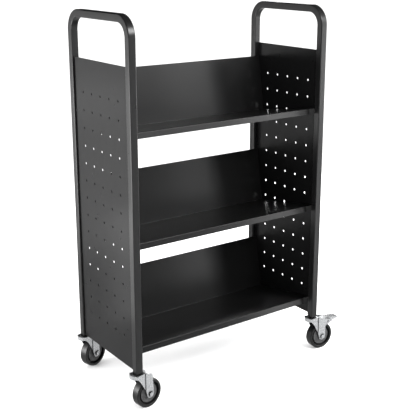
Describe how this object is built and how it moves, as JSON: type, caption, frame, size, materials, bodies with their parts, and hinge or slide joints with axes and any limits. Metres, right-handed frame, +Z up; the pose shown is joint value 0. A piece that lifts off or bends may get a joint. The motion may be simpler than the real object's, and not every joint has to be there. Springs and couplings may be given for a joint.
{
  "type": "book cart",
  "caption": "Wheeled book cart with tilted V-shaped shelves on one side, perforated side panels, square-tube end frames with handles, and swivel casters with foot brakes.",
  "frame": {"origin": "middle of the whole cart's box, on the floor under the wheels", "axes": "+X along the shelves to the braked end, +Y from the open front to the back, +Z up"},
  "size_m": [0.9006, 0.4232, 1.263],
  "materials": {
    "frame_paint": "black powder coat, semi-gloss, fine orange peel",
    "panel_paint": "black powder coat, semi-gloss, fine orange peel",
    "shelf_paint": "black powder coat, semi-gloss, fine orange peel",
    "insert_plastic": "moulded black plastic",
    "zinc_plate": "bright zinc plate over pressed steel",
    "wheel_core_plastic": "moulded dark grey plastic, slightly mottled",
    "tyre_rubber": "dark grey rubber tread, slightly dusty"
  },
  "bodies": {
    "cart": {"left_end_frame": "frame_paint", "left_side_panel": "panel_paint", "right_end_frame": "frame_paint", "right_side_panel": "panel_paint", "upper_shelf": "shelf_paint", "middle_shelf": "shelf_paint", "lower_shelf": "shelf_paint", "front_left_tube_insert": "insert_plastic", "front_left_caster_stem": "zinc_plate", "front_left_stem_nut": "zinc_plate", "front_right_tube_insert": "insert_plastic", "front_right_caster_stem": "zinc_plate", "front_right_stem_nut": "zinc_plate", "rear_left_tube_insert": "insert_plastic", "rear_left_caster_stem": "zinc_plate", "rear_left_stem_nut": "zinc_plate", "rear_right_tube_insert": "insert_plastic", "rear_right_caster_stem": "zinc_plate", "rear_right_stem_nut": "zinc_plate"},
    "front_left_swivel": {"front_left_fork": "zinc_plate", "front_left_axle_bolt": "zinc_plate", "front_left_axle_nut": "zinc_plate"},
    "front_left_wheel": {"front_left_wheel_core": "wheel_core_plastic", "front_left_tyre": "tyre_rubber"},
    "front_right_swivel": {"front_right_fork": "zinc_plate", "front_right_axle_bolt": "zinc_plate", "front_right_axle_nut": "zinc_plate", "front_right_brake_pin": "zinc_plate"},
    "front_right_wheel": {"front_right_wheel_core": "wheel_core_plastic", "front_right_tyre": "tyre_rubber"},
    "front_right_brake": {"front_right_brake_pedal": "zinc_plate"},
    "rear_left_swivel": {"rear_left_fork": "zinc_plate", "rear_left_axle_bolt": "zinc_plate", "rear_left_axle_nut": "zinc_plate"},
    "rear_left_wheel": {"rear_left_wheel_core": "wheel_core_plastic", "rear_left_tyre": "tyre_rubber"},
    "rear_right_swivel": {"rear_right_fork": "zinc_plate", "rear_right_axle_bolt": "zinc_plate", "rear_right_axle_nut": "zinc_plate", "rear_right_brake_pin": "zinc_plate"},
    "rear_right_wheel": {"rear_right_wheel_core": "wheel_core_plastic", "rear_right_tyre": "tyre_rubber"},
    "rear_right_brake": {"rear_right_brake_pedal": "zinc_plate"}
  },
  "joints": [
    {"name": "front_left_swivel_turn", "type": "hinge", "parent": "cart", "child": "front_left_swivel", "pos_m": [-0.42235, -0.18347, 0.124], "axis": [0, 0, 1], "continuous": true},
    {"name": "front_left_wheel_roll", "type": "hinge", "parent": "front_left_swivel", "child": "front_left_wheel", "pos_m": [-0.38769, -0.1786, 0.05], "axis": [-0.1392, 0.9903, 0], "continuous": true},
    {"name": "front_right_swivel_turn", "type": "hinge", "parent": "cart", "child": "front_right_swivel", "pos_m": [0.33265, -0.18347, 0.124], "axis": [0, 0, 1], "continuous": true},
    {"name": "front_right_wheel_roll", "type": "hinge", "parent": "front_right_swivel", "child": "front_right_wheel", "pos_m": [0.36751, -0.18652, 0.05], "axis": [0.0872, 0.9962, 0], "continuous": true},
    {"name": "front_right_brake_press", "type": "hinge", "parent": "front_right_swivel", "child": "front_right_brake", "pos_m": [0.39441, -0.18888, 0.103], "axis": [0.0872, 0.9962, 0], "range_deg": [0, 20]},
    {"name": "rear_left_swivel_turn", "type": "hinge", "parent": "cart", "child": "rear_left_swivel", "pos_m": [-0.42235, 0.17353, 0.124], "axis": [0, 0, 1], "continuous": true},
    {"name": "rear_left_wheel_roll", "type": "hinge", "parent": "rear_left_swivel", "child": "rear_left_wheel", "pos_m": [-0.38888, 0.18376, 0.05], "axis": [-0.2924, 0.9563, 0], "continuous": true},
    {"name": "rear_right_swivel_turn", "type": "hinge", "parent": "cart", "child": "rear_right_swivel", "pos_m": [0.33265, 0.17353, 0.124], "axis": [0, 0, 1], "continuous": true},
    {"name": "rear_right_wheel_roll", "type": "hinge", "parent": "rear_right_swivel", "child": "rear_right_wheel", "pos_m": [0.3676, 0.17536, 0.05], "axis": [-0.0523, 0.9986, 0], "continuous": true},
    {"name": "rear_right_brake_press", "type": "hinge", "parent": "rear_right_swivel", "child": "rear_right_brake", "pos_m": [0.39456, 0.17677, 0.103], "axis": [-0.0523, 0.9986, 0], "range_deg": [0, 20]}
  ]
}
